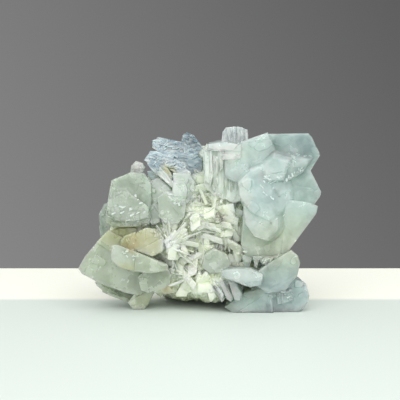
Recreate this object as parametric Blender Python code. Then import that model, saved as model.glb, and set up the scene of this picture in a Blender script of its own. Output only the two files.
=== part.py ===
"""Blue barite on matrix: clusters of tabular barite crystals round a pale, broken matrix.

Units are metres with +Z up. The origin is at the middle of the base, on the surface that the specimen
stands on. The photographed side faces -Y. Sizes in the tables are millimetres, turned into metres by MM.
"""

import math
import random
from typing import NamedTuple

import bmesh
import bpy
from mathutils import Matrix, Vector, noise

MM = 0.001

# Driving dimensions, in millimetres
MIDDLE = (0.4, 0.6, 0.0)  # the middle of the base, in the coordinates of the tables
GAP = 0.45  # what is cut round a cluster from its neighbours; slanted faces keep 0.3 of it
RIM = 0.5  # width of the bevel round a crystal's broad face
FLOOR_SIZE = 200.0
FLOOR_DEPTH = 20.0

# The matrix
ROCK_DETAIL = 3  # icosphere subdivisions of a lump
BROAD_WAVE = 4.5  # size of the larger swellings
FINE_WAVE = 1.9  # size of the small broken faces
SWELL = 1.8  # how far the surface strays

# The spray of small blades that grows out of the matrix
SPRAY_SEED = 11
SPRAY_COUNT = 74
SPRAY_HEART = (-3.0, 3.0, 18.0)  # the point that the blades point away from
SPRAY_LEFT, SPRAY_RIGHT = -11.0, 12.0
SPRAY_LOW, SPRAY_HIGH = 4.0, 36.0
SPRAY_STRAY = 0.6  # how far a blade's direction strays
BLADE_LENGTH = (5.0, 9.5)
BLADE_WIDTH = (1.1, 2.4)
BLADE_THICKNESS = (0.7, 1.2)
BLADE_SECTIONS = ((-0.55, 0.7), (0.3, 1.0), (0.45, 0.35))  # place along it, and share of its full width


class Crystal(NamedTuple):
    """A crystal, given by the outline of its broad face as it is seen along +Y."""

    outline: tuple  # corners (x, z), in order, convex
    front: float  # y of the broad face at the middle of the outline
    depth: float  # how far the crystal reaches behind that face; under 0, it reaches towards -Y
    lean: tuple = (0, 0)  # how much further back the face lies for each mm to the right, and up
    drift: tuple = (0, 0)  # how far the far end is moved in x and z
    taper: float = 0.9  # size of the far end, as a share of the outline


class Lump(NamedTuple):
    """A rounded lump of matrix."""

    at: tuple
    radii: tuple


class Finish(NamedTuple):
    colour: tuple  # linear red, green and blue
    roughness: float
    clearness: float  # transmission weight


RIGHT_PLATES = (
    # The tall plate of the upper right corner
    Crystal(
        ((17.5, 47.0), (29.2, 47.2), (30.2, 46.2), (32.4, 41.3), (29.9, 37.2), (24.5, 33), (15, 34.5), (14, 42.5)),
        -4, 5, (-0.03, 0.06),
    ),
    # The middle plate, which makes the right tip
    Crystal(
        ((14, 40), (27, 40.6), (29.6, 37.8), (32.6, 32.0), (32.4, 30.4), (31, 28.7), (27, 23), (15, 23), (11, 29.5)),
        -6, 5, (0.05, 0.05), (-1, 1),
    ),
    # The large lower plate with the long slanting edge
    Crystal(
        ((16, 31), (29.5, 29), (31.8, 28.1), (31.5, 26.2), (23.8, 15.7), (21, 13.9), (12.8, 13.4), (11.2, 18), (12, 28)),
        -8, 5, (0.04, -0.05), (-1, 1),
    ),
    # The front plate with the bright left rim
    Crystal(
        ((10.5, 34.2), (13.5, 37.1), (16.7, 38.4), (22.6, 35.8), (23.9, 30), (18.7, 24.3), (13.5, 26.9), (10.9, 30.6)),
        -11, 4, (0.10, 0.04), (1, 0),
    ),
    # The small rounded plate below it
    Crystal(
        ((11.9, 28.5), (16.6, 29.5), (20.7, 27.1), (20.5, 21.9), (17.6, 19.3), (14.5, 20.3), (12.1, 23.7)),
        -12, 4, (0.08, -0.08),
    ),
    # The bluish plate left of the middle
    Crystal(
        ((6.5, 42.5), (11, 45), (15.3, 45.8), (18.4, 47.5), (20.5, 43), (17, 37.3), (10.5, 33.9), (7, 35.5)),
        -7, 6, (0.05, 0.12),
    ),
    # The broken, feathery crystals in the middle of the mass
    Crystal(((16.7, 38.6), (20, 41), (23.5, 40), (22, 35.5), (18.2, 34.8)), -10.2, 4, (-0.25, 0.2)),
    Crystal(((21.5, 37.5), (24, 40.8), (29.3, 40.3), (27.5, 37), (23, 34.6)), -9, 4, (0.2, 0.1)),
    # The ragged lower fringe
    Crystal(((15.2, 15), (20.5, 15), (18.8, 12.2), (16.9, 12)), -9.2, 3, (0, -0.1)),
    Crystal(((11.3, 15.5), (14.4, 14.5), (13.6, 11.8), (12.4, 12)), -8.5, 3),
    # The ledges at its upper left, seen on edge
    Crystal(((2.5, 44.3), (6.2, 45.1), (11.6, 44.2), (11.7, 42.6), (2.2, 42.3)), -6.5, 12, (0, 0.1)),
    Crystal(((6.2, 41.7), (11.4, 41.8), (11.2, 40.2), (6.4, 40.2)), -8.8, 9),
    # Their thick backs
    Crystal(
        ((12.5, 42.5), (20, 45.5), (28, 41.5), (30.2, 33), (27, 23), (20, 17), (12, 21)),
        -2, 8, (0, 0.05), (-3, -1), 0.75,
    ),
)

TOP_CRYSTAL = (
    Crystal(
        ((6.2, 44.0), (6.7, 47.0), (8.1, 48.8), (10.7, 48.9), (13.3, 47.7), (13.4, 44.8), (11, 43.2)),
        -3, 8, (-0.12, 0.25), (0.3, -0.8), 0.85,
    ),
)

UPPER_COLUMNS = (
    Crystal(((1.8, 42.5), (4.1, 42.6), (4.2, 34.8), (2.0, 34.5)), -5.5, 8, (-0.2, 0.05)),
    Crystal(((3.8, 42), (6.6, 42), (6.5, 34), (4.2, 34)), -4, 7, (0.2, 0.03)),
)

BLUE_BLADES = (
    # The long upper blade
    Crystal(
        ((-12.6, 43.3), (-12.1, 45.2), (-10.8, 45.9), (-3.8, 44.5), (-0.5, 42.6), (0.3, 41), (-1.1, 40.1), (-10.8, 42)),
        -1.5, 8, (-0.05, 0.5), (1, -1.5), 0.85,
    ),
    # The dark blue crystal behind its right end
    Crystal(
        ((-4.6, 44.5), (-4.1, 46.8), (-3, 47.1), (-1.1, 46.3), (1.2, 43.2), (1.3, 41.6), (-2, 41.6)),
        1.5, 6, (0.1, 0.3), (0, -1),
    ),
    # The second blade
    Crystal(
        ((-14.4, 40), (-12.8, 42.4), (-11, 42.3), (-5.3, 40), (-1.9, 36.6), (-1.9, 34.9), (-3.8, 35.1), (-13.6, 39)),
        -4, 8, (0.05, 0.5), (1.5, -1.5), 0.85,
    ),
    # The bright tapering blade and the one beneath it
    Crystal(
        ((-13.7, 38.9), (-12.6, 40.5), (-11.1, 40.2), (-7.9, 36.8), (-5.3, 33), (-5.8, 32.2), (-8.2, 33.8), (-12.8, 37)),
        -7, 8, (0.05, 0.4), (1.5, -1), 0.85,
    ),
    Crystal(
        ((-13.5, 37.2), (-12.2, 37.4), (-8.7, 35), (-5.8, 31.9), (-6.9, 31.2), (-10.6, 33.3), (-13, 35.4)),
        -6, 7, (0.05, 0.1), (1, -1),
    ),
    # What they stand on
    Crystal(((-11, 42), (-2, 42), (1.2, 40), (1.3, 35.5), (-2.2, 33), (-9, 34.5), (-12, 38)), -1, 7, (0, 0.15)),
)

LEFT_PLATES = (
    Crystal(
        (
            (-23.1, 31), (-22.3, 35.2), (-20.2, 36.1), (-17.6, 36.8),
            (-14.2, 36.3), (-12.6, 34.2), (-12.9, 30.2), (-15.2, 28), (-22, 28.5),
        ),
        -8, 7, (0.1, 0.12), (1, -1),
    ),
    Crystal(
        (
            (-23.7, 29.5), (-22.2, 31.8), (-18.8, 32.3), (-14.9, 29.6),
            (-12.8, 27.9), (-13, 25.2), (-16.7, 24.2), (-21.6, 24.4), (-23.9, 26.3),
        ),
        -10, 6, (-0.08, 0.1), (1, 0),
    ),
    Crystal(
        ((-24, 26.3), (-13.3, 26.3), (-13.4, 23.5), (-16.6, 22.6), (-21.6, 22.6), (-23.6, 23.4)),
        -8.5, 7, (0.03, -0.1), (1, 0),
    ),
    Crystal(((-18.2, 35.6), (-17.8, 38.4), (-16.6, 39.7), (-14.7, 39.2), (-13.9, 38), (-14.6, 35.5)), -4, 5, (0, 0.1)),
)

MIDDLE_CRYSTALS = (
    Crystal(
        ((-12.9, 34.6), (-10.5, 35.7), (-7.4, 33), (-6, 31.2), (-8.4, 28.6), (-12.1, 28), (-13, 30.7)),
        -7.5, 7, (-0.1, 0.1), (1, 0),
    ),
    # The clear window face
    Crystal(
        ((-10.7, 30.7), (-8.6, 32.3), (-4.7, 31.5), (-3.1, 29.4), (-3.4, 25.7), (-5.2, 23.5), (-8.6, 23.3), (-10.5, 25.7)),
        -10, 7, (0.05, 0.08), (0.5, 0),
    ),
    Crystal(((-13, 28.5), (-10.5, 29.2), (-9.7, 23.9), (-12.1, 22.9), (-13, 24.4)), -8.5, 6, (-0.2, 0)),
    # The white petals above it
    Crystal(((-5.2, 36.6), (-2.1, 35), (-1.3, 32.3), (-2.4, 29.2), (-4.2, 30), (-5.8, 33.4)), -7.5, 6, (0.2, 0.1)),
    Crystal(((-7.3, 32), (-5.2, 33), (-3, 30), (-3.5, 27.7), (-5.7, 27.5), (-7.8, 29.8)), -10.8, 5, (-0.2, 0.15)),
)

LEFT_BACK_CRYSTAL = (
    Crystal(
        ((-27.2, 18), (-27.6, 24), (-26.1, 27.2), (-23.5, 28.5), (-19, 26), (-19, 18)),
        5, 4.5, (-0.15, 0), (1, -0.5),
    ),
)

YELLOW_CRYSTALS = (
    Crystal(
        (
            (-20.6, 17.8), (-17.7, 21), (-15.6, 22.3), (-12.5, 22.5),
            (-9.9, 21.9), (-8.6, 19.5), (-9.1, 16.3), (-11.7, 14.7), (-16.4, 15.6),
        ),
        -10.5, 8, (-0.05, 0.12), (0.5, 0),
    ),
    Crystal(
        ((-24.4, 21), (-20.7, 22.4), (-16.5, 22.2), (-15, 19.5), (-17, 16), (-23.1, 17)),
        -5, 7, (0.1, 0.05), (1, 0),
    ),
)

LOWER_LEFT_PLATES = (
    # The large plate with the left tip
    Crystal(
        (
            (-31.8, 11.6), (-30.0, 14.8), (-26.1, 19.5), (-23.7, 21.9), (-19, 19.3), (-8.6, 12.5),
            (-8.4, 11), (-12, 6.7), (-15.7, 4), (-19.1, 4.6), (-27.4, 8), (-31.0, 10.1),
        ),
        -8, 4.5, (0.05, -0.02), (0.5, 0.3),
    ),
    Crystal(
        ((-27.5, 9.0), (-23, 13), (-15, 12.5), (-11, 9), (-15, 5), (-19.5, 5.2)),
        -9.6, 4, (0.04, -0.12), (0.5, 0.3),
    ),
    # The blade that lies across it
    Crystal(
        (
            (-22.5, 18.4), (-20.9, 18.5), (-14.9, 16.2), (-7.7, 13.2),
            (-7.6, 11.8), (-12.4, 11), (-17, 11.6), (-20.6, 12.7), (-22.7, 14.7),
        ),
        -13, 6, (0.02, 0.25), (0.5, -0.5),
    ),
    Crystal(
        (
            (-15.1, 5.8), (-15.9, 9.5), (-12.5, 12.1), (-8.3, 12.1),
            (-7, 10), (-7.3, 7.4), (-8.9, 6.2), (-13.2, 5.0),
        ),
        -10.5, 5, (0.1, -0.15), (0, 1),
    ),
)

LEFT_FOOT = (
    Crystal(
        (
            (-18.8, 1.8), (-16.6, 5), (-14.5, 6.3), (-11.6, 7.7),
            (-11.4, 5), (-12.7, 2.6), (-14.4, -1), (-17.4, -1),
        ),
        -6, 6, (0.1, -0.1), (0.5, 1), 0.95,
    ),
    # The shaded blade under the large plate
    Crystal(
        ((-28.1, 6.9), (-24.3, 6.5), (-17.9, 5), (-14, 3), (-16.6, 0.7), (-21.4, 2.3), (-25.9, 4.4)),
        -3.2, 7, (0, 0.1), (2, 0.5), 0.9,
    ),
)

CENTRE_CRYSTALS = (
    Crystal(
        ((1.1, 11.9), (1.6, 15.1), (4.2, 16.9), (7.6, 15.4), (8.9, 12.7), (7.3, 10.6), (3.2, 10.1)),
        -9, 6, (0.1, 0.1), (-0.5, 1),
    ),
    Crystal(((-2.2, 9.7), (1.6, 11.2), (4.5, 10.8), (4.6, 6.2), (0.5, 4.8), (-2.7, 6.4)), -7.5, 6, (-0.1, -0.2), (0, 1)),
)

LOWER_RIGHT_PLATES = (
    # The white wedge
    Crystal(
        ((6, 11.6), (9.6, 12.1), (14.7, 11.8), (17.2, 10.5), (16.8, 8.2), (13.5, 7.5), (10.9, 8.3), (7.8, 9.8)),
        -13, 6, (0.05, 0.2), (1, 0),
    ),
    # The blue plate beside it
    Crystal(
        (
            (15.2, 7.1), (15.7, 11.1), (19.3, 13.7), (24.6, 16.6), (26.4, 15.1),
            (27, 13), (26.2, 9.5), (23, 5.5), (18.3, 5.0),
        ),
        -10, 6, (0.03, 0.08), (0, 0.5),
    ),
    # The low plates that it stands on
    Crystal(
        ((17, 7), (21, 8.8), (26.7, 8.4), (28.7, 7.5), (29.7, 4.3), (29.2, 2.2), (27.6, 0.6), (26.5, -0.8), (16, -0.8)),
        -7.5, 9, (0.02, 0.1), (-1, 0.5), 0.92,
    ),
    Crystal(
        ((7, 1.3), (9.2, 2.9), (12.3, 5.2), (16.8, 6.3), (19.6, 5.7), (20, -0.8), (9, -0.8)),
        -9.5, 9, (-0.03, 0.12), (0, 0.5), 0.92,
    ),
    # The short white prisms
    Crystal(((20.6, 5.5), (24.8, 6.3), (25.6, 3.2), (21, 2.1)), -9.5, 4, (0.1, 0)),
    Crystal(((7.8, 8.9), (9.6, 8.6), (11.6, 5.2), (11, 3.4), (9.5, 3.6)), -11, 5, (0, 0.2), (1, 0)),
    Crystal(((18.8, 5.3), (19.9, 5.4), (19, 1.8), (17.9, 1.8)), -10, 4),
)

BACK_UPPER_PLATES = (
    Crystal(
        ((3, 29), (4.5, 37.5), (10, 41.5), (17, 40), (22.5, 35), (21, 27.5), (13, 24)),
        12, -7, (-0.25, 0.2), (0, 1),
    ),
    Crystal(((13, 30), (17, 37), (24, 38.5), (27, 31), (23, 24.5), (15, 24)), 10, -7, (-0.35, 0.1), (0, 1)),
    Crystal(((-3, 33), (-1, 40), (4, 43), (10, 41), (9, 35), (3, 31)), 10, -6, (0.1, 0.3), (0, -1)),
    Crystal(((9, 17), (8, 24), (13, 29), (21, 28.5), (24.5, 21), (18, 15.5)), 13, -7, (-0.2, -0.1), (0, 1)),
    Crystal(((17, 19), (19, 25), (25.5, 26), (26, 20), (22, 16)), 9.5, -6, (-0.4, -0.1)),
)

BACK_LEFT_PLATES = (
    Crystal(((-21, 24), (-19, 31), (-13, 35), (-6.5, 32.5), (-6, 25), (-12, 20.5)), 12, -7, (0.2, 0.15), (1, 0)),
    Crystal(((-13, 30), (-11.5, 36.5), (-6, 40), (-2, 36), (-4, 30.5), (-9, 28.5)), 10.5, -6, (0.05, 0.35), (0, -1)),
    Crystal(((-24, 13), (-23, 19.5), (-17.5, 24), (-10.5, 20), (-12, 12.5), (-18, 9)), 11, -7, (0.25, -0.05), (1, 0)),
    Crystal(((-23, 17), (-23.5, 23), (-20, 28), (-16, 23), (-18, 16)), 8.5, -5, (0.4, 0.05), (1, 0)),
)

BACK_FOOT = (
    Crystal(((-10, -1), (-11, 6), (-6, 12), (3, 13.5), (8, 8), (7, -1)), 13.6, -8, (0, -0.08), (0, 2)),
    Crystal(((3, -1), (4, 7), (11, 11.5), (18.5, 8), (17, -1)), 12, -7, (-0.2, 0), (0, 1)),
    Crystal(((-4, 9), (-2, 16), (4, 18), (8, 12), (3, 8)), 12.5, -6, (0.05, 0.3)),
)

CLUSTERS = {
    "top_crystal": TOP_CRYSTAL,
    "right_plates": RIGHT_PLATES,
    "upper_columns": UPPER_COLUMNS,
    "blue_blades": BLUE_BLADES,
    "left_plates": LEFT_PLATES,
    "middle_crystals": MIDDLE_CRYSTALS,
    "left_back_crystal": LEFT_BACK_CRYSTAL,
    "yellow_crystals": YELLOW_CRYSTALS,
    "lower_left_plates": LOWER_LEFT_PLATES,
    "left_foot": LEFT_FOOT,
    "centre_crystals": CENTRE_CRYSTALS,
    "lower_right_plates": LOWER_RIGHT_PLATES,
    "back_upper_plates": BACK_UPPER_PLATES,
    "back_left_plates": BACK_LEFT_PLATES,
    "back_foot": BACK_FOOT,
}

MATRIX_LUMPS = (
    Lump((-1, 3, 23), (17, 10, 16)),
    Lump((-2, 2, 9.2), (15, 9.5, 7.6)),
    Lump((6, 3, 37), (9, 6, 7)),
    Lump((-15, 2, 19), (9, 8, 13)),
    Lump((13, 3, 12), (10, 8, 9)),
    Lump((3.5, -4, 6.6), (7, 5, 4.6)),
)

FINISHES = {
    "right_plates": Finish((0.46, 0.58, 0.55), 0.28, 0.4),
    "top_crystal": Finish((0.50, 0.54, 0.55), 0.4, 0.2),
    "upper_columns": Finish((0.58, 0.64, 0.56), 0.4, 0.15),
    "blue_blades": Finish((0.36, 0.47, 0.53), 0.4, 0.2),
    "left_plates": Finish((0.42, 0.50, 0.44), 0.32, 0.3),
    "middle_crystals": Finish((0.50, 0.58, 0.50), 0.32, 0.3),
    "left_back_crystal": Finish((0.40, 0.45, 0.40), 0.2, 0.6),
    "yellow_crystals": Finish((0.52, 0.54, 0.32), 0.35, 0.25),
    "lower_left_plates": Finish((0.42, 0.50, 0.40), 0.3, 0.3),
    "left_foot": Finish((0.34, 0.42, 0.34), 0.3, 0.3),
    "centre_crystals": Finish((0.48, 0.56, 0.48), 0.35, 0.3),
    "lower_right_plates": Finish((0.42, 0.50, 0.48), 0.3, 0.35),
    "back_upper_plates": Finish((0.42, 0.52, 0.50), 0.3, 0.3),
    "back_left_plates": Finish((0.42, 0.50, 0.44), 0.3, 0.3),
    "back_foot": Finish((0.38, 0.44, 0.36), 0.35, 0.25),
    "matrix": Finish((0.50, 0.50, 0.38), 0.75, 0.0),
}


def clear_scene():
    for obj in list(bpy.data.objects):
        bpy.data.objects.remove(obj)


def new_collection(name):
    made = bpy.data.collections.new(name)
    bpy.context.scene.collection.children.link(made)
    return made


def hull_mesh(points):
    """The convex hull of points in millimetres, with its flat faces left whole."""
    mesh = bpy.data.meshes.new("hull")
    form = bmesh.new()
    for point in points:
        form.verts.new([(p - m) * MM for p, m in zip(point, MIDDLE)])
    hull = bmesh.ops.convex_hull(form, input=form.verts)
    bmesh.ops.delete(form, geom=hull["geom_interior"], context="VERTS")
    bmesh.ops.dissolve_limit(form, angle_limit=math.radians(1), verts=form.verts, edges=form.edges)
    bmesh.ops.recalc_face_normals(form, faces=form.faces)
    form.to_mesh(mesh)
    form.free()
    return mesh


def crystal_mesh(crystal, grow=0.0):
    """The hull of a crystal's broad face, of its widest ring just behind that, and of its far end."""
    corners = [Vector(corner) for corner in crystal.outline]
    middle = sum(corners, Vector((0, 0))) / len(corners)
    lean, drift = Vector(crystal.lean), Vector(crystal.drift)
    away = math.copysign(1, crystal.depth)
    points = []
    for corner in corners:
        arm = corner - middle
        reach = arm.length
        arm *= (reach + grow) / reach
        face = middle + arm * (reach - RIM) / reach
        far = middle + drift + arm * crystal.taper
        level = crystal.front + lean.dot(arm) - away * grow
        points.append((face.x, level, face.y))
        points.append((middle.x + arm.x, level + away * RIM, middle.y + arm.y))
        points.append((far.x, level + crystal.depth + 2 * away * grow, far.y))
    return hull_mesh(points)


def lump_mesh(lump):
    """A lump whose surface is broken by broad swellings and small flat faces."""
    mesh = bpy.data.meshes.new("lump")
    form = bmesh.new()
    bmesh.ops.create_icosphere(form, subdivisions=ROCK_DETAIL, radius=1.0)
    for vert in form.verts:
        out = vert.co.normalized()
        place = Vector(lump.at) + Vector([o * r for o, r in zip(out, lump.radii)])
        swell = noise.noise(place / BROAD_WAVE) + 0.5 * noise.cell(place / FINE_WAVE)
        vert.co = (place + out * SWELL * swell - Vector(MIDDLE)) * MM
    bmesh.ops.recalc_face_normals(form, faces=form.faces)
    form.to_mesh(mesh)
    form.free()
    return mesh


def rock_front(x, z):
    """The y of the front of the lumps of matrix at a point of the front view, or None beside them."""
    found = []
    for lump in MATRIX_LUMPS:
        across = (x - lump.at[0]) / lump.radii[0]
        up = (z - lump.at[2]) / lump.radii[2]
        if across**2 + up**2 < 1:
            found.append(lump.at[1] - lump.radii[1] * math.sqrt(1 - across**2 - up**2))
    return min(found, default=None)


def random_direction(chance):
    return Vector([chance.gauss(0, 1) for _ in range(3)]).normalized()


def blade_mesh(chance):
    """One small blade of the spray, with a blunt point, pointing away from the heart of the spray."""
    front = None
    while front is None:
        x = chance.uniform(SPRAY_LEFT, SPRAY_RIGHT)
        z = chance.uniform(SPRAY_LOW, SPRAY_HIGH)
        front = rock_front(x, z)
    seat = Vector((x, front, z))
    outward = (seat - Vector(SPRAY_HEART)).normalized()
    along = (outward + SPRAY_STRAY * random_direction(chance)).normalized()
    side = along.cross(random_direction(chance)).normalized()
    flat = along.cross(side)
    length = chance.uniform(*BLADE_LENGTH)
    half_width = chance.uniform(*BLADE_WIDTH) / 2
    half_thickness = chance.uniform(*BLADE_THICKNESS) / 2
    points = []
    for share, breadth in BLADE_SECTIONS:
        for edge in (-breadth, breadth):
            for face in (-half_thickness, half_thickness):
                points.append(seat + along * length * share + side * half_width * edge + flat * face)
    return hull_mesh(points)


def combine(mesh, other, operation):
    """The Boolean of two closed meshes, as a new mesh."""
    first = bpy.data.objects.new("first", mesh)
    second = bpy.data.objects.new("second", other)
    helpers.objects.link(first)
    helpers.objects.link(second)
    modifier = first.modifiers.new("boolean", "BOOLEAN")
    modifier.operation = operation
    modifier.solver = "EXACT"
    modifier.object = second
    graph = bpy.context.evaluated_depsgraph_get()
    made = bpy.data.meshes.new_from_object(first.evaluated_get(graph))
    bpy.data.objects.remove(first)
    bpy.data.objects.remove(second)
    return made


def union(meshes):
    made = meshes[0]
    for mesh in meshes[1:]:
        made = combine(made, mesh, "UNION")
    return made


def bodies_of(form):
    """The separate bodies of a bmesh, as sets of vertices, smallest first."""
    bodies, left = [], set(form.verts)
    while left:
        body, edge = set(), [left.pop()]
        while edge:
            vert = edge.pop()
            body.add(vert)
            near = {e.other_vert(vert) for e in vert.link_edges} & left
            left -= near
            edge.extend(near)
        bodies.append(body)
    return sorted(bodies, key=len)


def largest_body(mesh):
    """Drops the fragments that a neighbour has cut free."""
    form = bmesh.new()
    form.from_mesh(mesh)
    loose = [vert for body in bodies_of(form)[:-1] for vert in body]
    bmesh.ops.delete(form, geom=loose, context="VERTS")
    form.to_mesh(mesh)
    form.free()
    return mesh


def floor_cutter():
    """A block whose top is the surface that the specimen stands on."""
    mesh = bpy.data.meshes.new("floor")
    form = bmesh.new()
    size = Matrix.Diagonal((FLOOR_SIZE * MM, FLOOR_SIZE * MM, FLOOR_DEPTH * MM, 1))
    place = Matrix.Translation((0, 0, -FLOOR_DEPTH / 2 * MM))
    bmesh.ops.create_cube(form, size=1.0, matrix=place @ size)
    form.to_mesh(mesh)
    form.free()
    return mesh


def material(name, finish):
    made = bpy.data.materials.new(name)
    made.use_nodes = True
    shader = made.node_tree.nodes["Principled BSDF"]
    shader.inputs["Base Color"].default_value = (*finish.colour, 1)
    shader.inputs["Roughness"].default_value = finish.roughness
    shader.inputs["Metallic"].default_value = 0.0
    shader.inputs["Transmission Weight"].default_value = finish.clearness
    made.diffuse_color = (*finish.colour, 1)
    return made


def add_piece(name, mesh):
    mesh.materials.clear()
    mesh.materials.append(material(name, FINISHES[name]))
    specimen.objects.link(bpy.data.objects.new(name, mesh))


clear_scene()
specimen = new_collection("blue_barite_on_matrix")
helpers = new_collection("helpers")

grown = []
for name, crystals in CLUSTERS.items():
    solid = union([crystal_mesh(crystal) for crystal in crystals])
    for cutter in grown:
        solid = combine(solid, cutter.copy(), "DIFFERENCE")
    solid = combine(solid, floor_cutter(), "DIFFERENCE")
    add_piece(name, largest_body(solid))
    grown.append(union([crystal_mesh(crystal, GAP) for crystal in crystals]))

chance = random.Random(SPRAY_SEED)
rock = union([lump_mesh(lump) for lump in MATRIX_LUMPS])
rock = union([rock] + [blade_mesh(chance) for _ in range(SPRAY_COUNT)])
for cutter in grown:
    rock = combine(rock, cutter, "DIFFERENCE")
rock = combine(rock, floor_cutter(), "DIFFERENCE")
add_piece("matrix", largest_body(rock))
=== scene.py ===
"""Blue barite on matrix: the look of the specimen, with its camera, floor and light.

Sizes are millimetres in the part's own axes, moved by MIDDLE. The finished meshes are turned into metres.
"""

import itertools
import math
import random
from typing import NamedTuple

import bmesh
import bpy
import numpy as np
from mathutils import Matrix, Vector
from mathutils.bvhtree import BVHTree


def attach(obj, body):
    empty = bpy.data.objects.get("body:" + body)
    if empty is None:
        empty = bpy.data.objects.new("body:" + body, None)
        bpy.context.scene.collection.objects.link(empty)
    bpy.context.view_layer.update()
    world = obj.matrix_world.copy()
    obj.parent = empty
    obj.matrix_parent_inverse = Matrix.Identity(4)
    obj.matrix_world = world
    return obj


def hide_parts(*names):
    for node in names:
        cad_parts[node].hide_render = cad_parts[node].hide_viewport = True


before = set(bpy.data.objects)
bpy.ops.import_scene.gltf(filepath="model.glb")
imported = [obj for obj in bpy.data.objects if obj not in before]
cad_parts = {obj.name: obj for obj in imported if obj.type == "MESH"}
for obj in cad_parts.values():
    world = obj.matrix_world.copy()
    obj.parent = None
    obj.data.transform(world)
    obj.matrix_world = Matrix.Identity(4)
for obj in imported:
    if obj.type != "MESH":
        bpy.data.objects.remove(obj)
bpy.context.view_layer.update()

MM = 0.001
MIDDLE = (0.4, 0.6, 0.0)  # the middle of the base, in the coordinates of the tables


class Crystal(NamedTuple):
    """A crystal, given by the outline of its broad face as it is seen along +Y."""

    outline: tuple  # corners (x, z), in order, convex
    front: float  # y of the broad face at the middle of the outline
    depth: float  # how far the crystal reaches behind that face; under 0, it reaches towards -Y
    lean: tuple = (0, 0)  # how much further back the face lies for each mm to the right, and up
    drift: tuple = (0, 0)  # how far the far end is moved in x and z
    taper: float = 0.9  # size of the far end, as a share of the outline

    def corners(self):
        return [Vector(corner) for corner in self.outline]


class Lump(NamedTuple):
    """A rounded lump of matrix."""

    at: tuple
    radii: tuple


RIGHT_PLATES = (
    # The tall plate of the upper right corner
    Crystal(((17.5, 47), (29.2, 47.2), (30.2, 46.2), (32.4, 41.3), (29.9, 37.2), (24.5, 33), (15, 34.5),
             (14, 42.5)), -5.2, 5, (-0.03, 0.06)),
    # The middle plate, which makes the right tip
    Crystal(((14, 40), (27, 40.6), (29.6, 37.8), (32.6, 32), (32.4, 30.4), (31, 28.7), (27, 23), (15, 23),
             (11, 29.5)), -7.2, 5, (0.05, 0.05), (-1, 1)),
    # The large lower plate with the long slanting edge
    Crystal(((16, 31), (29.5, 29), (31.8, 28.1), (31.5, 26.2), (23.8, 15.7), (21, 13.9), (12.8, 13.4),
             (11.2, 18), (12, 28)), -8, 5, (0.04, -0.05), (-1, 1)),
    # The front plate with the bright left rim
    Crystal(((10.5, 34.2), (13.5, 37.1), (16.7, 38.4), (22.6, 35.8), (23.9, 30), (18.7, 24.3), (13.5, 26.9),
             (10.9, 30.6)), -9.4, 3, (0.20, 0.14), (1.8, 1), 1.35),
    # The small rounded plate below it
    Crystal(((11.9, 28.5), (16.6, 29.5), (20.7, 27.1), (20.5, 21.9), (17.6, 19.3), (14.5, 20.3),
             (12.1, 23.7)), -9.9, 3, (0.14, 0.22), (2, 2), 1.5),
    # The bluish plate left of the middle
    Crystal(((6.5, 42.5), (11, 45), (15.3, 45.8), (18.4, 47.5), (20.5, 43), (17, 37.3), (10.5, 33.9),
             (7, 35.5)), -7, 6, (0.05, 0.12)),
    # The broken, feathery crystals in the middle of the mass
    Crystal(((16.7, 38.6), (20, 41), (23.5, 40), (22, 35.5), (18.2, 34.8)),
            -9.2, 3, (-0.15, 0.1), (0, 0), 1.7),
    Crystal(((21.5, 37.5), (24, 40.8), (29.3, 40.3), (27.5, 37), (23, 34.6)),
            -8, 3, (0.1, 0.1), (0, 0), 1.5),
    # The ragged lower fringe
    Crystal(((15.2, 15), (20.5, 15), (18.8, 13), (16.9, 12.6)), -9.2, 3, (0, -0.1)),
    Crystal(((14.4, 15), (16.4, 14.8), (15.6, 11.6), (15, 12)), -9, 3, (0, -0.1)),
    Crystal(((17.2, 14.6), (19.2, 14.4), (18.5, 11.6), (17.8, 11.8)), -9.4, 3, (0, -0.1)),
    Crystal(((19.8, 15), (22.2, 15.6), (21.6, 12.8), (20.6, 12.4)), -8.8, 3, (0, -0.1)),
    Crystal(((11.3, 15.5), (14.4, 14.5), (13.6, 11.8), (12.4, 12)), -8.5, 3),
    # The ledges at its upper left, seen on edge
    Crystal(((2.5, 44.3), (6.2, 45.1), (11.6, 44.2), (11.7, 42.4), (2.2, 42.6)), -7, 12, (0, 0.3)),
    Crystal(((6.2, 41.8), (11.4, 42), (11.2, 40.5), (6.4, 40.3)), -8, 9, (0, 0.3)),
    # Their thick backs
    Crystal(((12.5, 42.5), (20, 45.5), (28, 41.5), (30.2, 33), (27, 23), (20, 17), (12, 21)),
            -2, 8, (0, 0.05), (-3, -1), 0.75),
)

TOP_CRYSTAL = (
    Crystal(((6.2, 44), (6.5, 47.4), (7.4, 48.7), (11.2, 48.9), (13.2, 48), (13.4, 44.8), (11, 43.2)),
            -3, 8, (-0.12, 0.25), (0.3, -0.8), 0.85),
)

UPPER_COLUMNS = (
    Crystal(((1.2, 43.2), (10.8, 42.4), (12, 36), (12, 29.5), (9, 28.6), (4, 30.8), (1.6, 33)),
            -6.4, 7, (0.03, 0.06)),
    Crystal(((1.8, 42.7), (3.6, 42.8), (4, 35.8), (3.2, 33.2), (1.9, 34.5)), -7.4, 8, (-0.25, 0.05)),
    Crystal(((3.8, 41.2), (5.9, 41.4), (5.4, 34), (4, 31.8)), -7.1, 7, (0.25, 0.03)),
    Crystal(((5.6, 42.6), (6.9, 42.6), (6.6, 38), (5.8, 37)), -7.3, 7, (0.1, 0.03)),
)

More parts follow.
